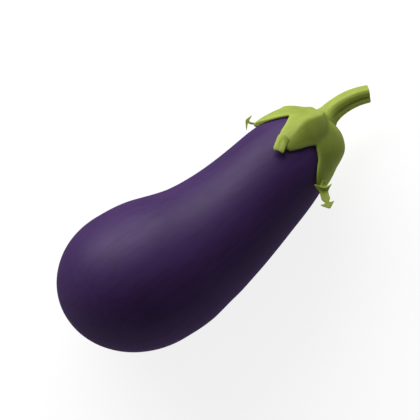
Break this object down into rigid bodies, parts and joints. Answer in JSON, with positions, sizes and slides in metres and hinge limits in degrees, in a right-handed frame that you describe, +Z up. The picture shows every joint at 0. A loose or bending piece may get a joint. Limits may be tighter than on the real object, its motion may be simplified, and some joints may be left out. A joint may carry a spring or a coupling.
{
  "type": "eggplant",
  "caption": "Whole eggplant lying on its side, pear-shaped fruit with a bent neck, a lobed green calyx over its crown and a curved cut stem.",
  "frame": {"origin": "middle of the footprint, on the surface the eggplant rests on", "axes": "+X from the blossom end towards the stem, +Y to the side the stem sits on, +Z up"},
  "size_m": [0.2236, 0.0892, 0.0884],
  "materials": {
    "skin": "satin",
    "calyx_green": "matte",
    "stem_green": "matte"
  },
  "bodies": {
    "root": {"fruit": "skin", "calyx": "calyx_green", "stem": "stem_green"}
  },
  "joints": []
}
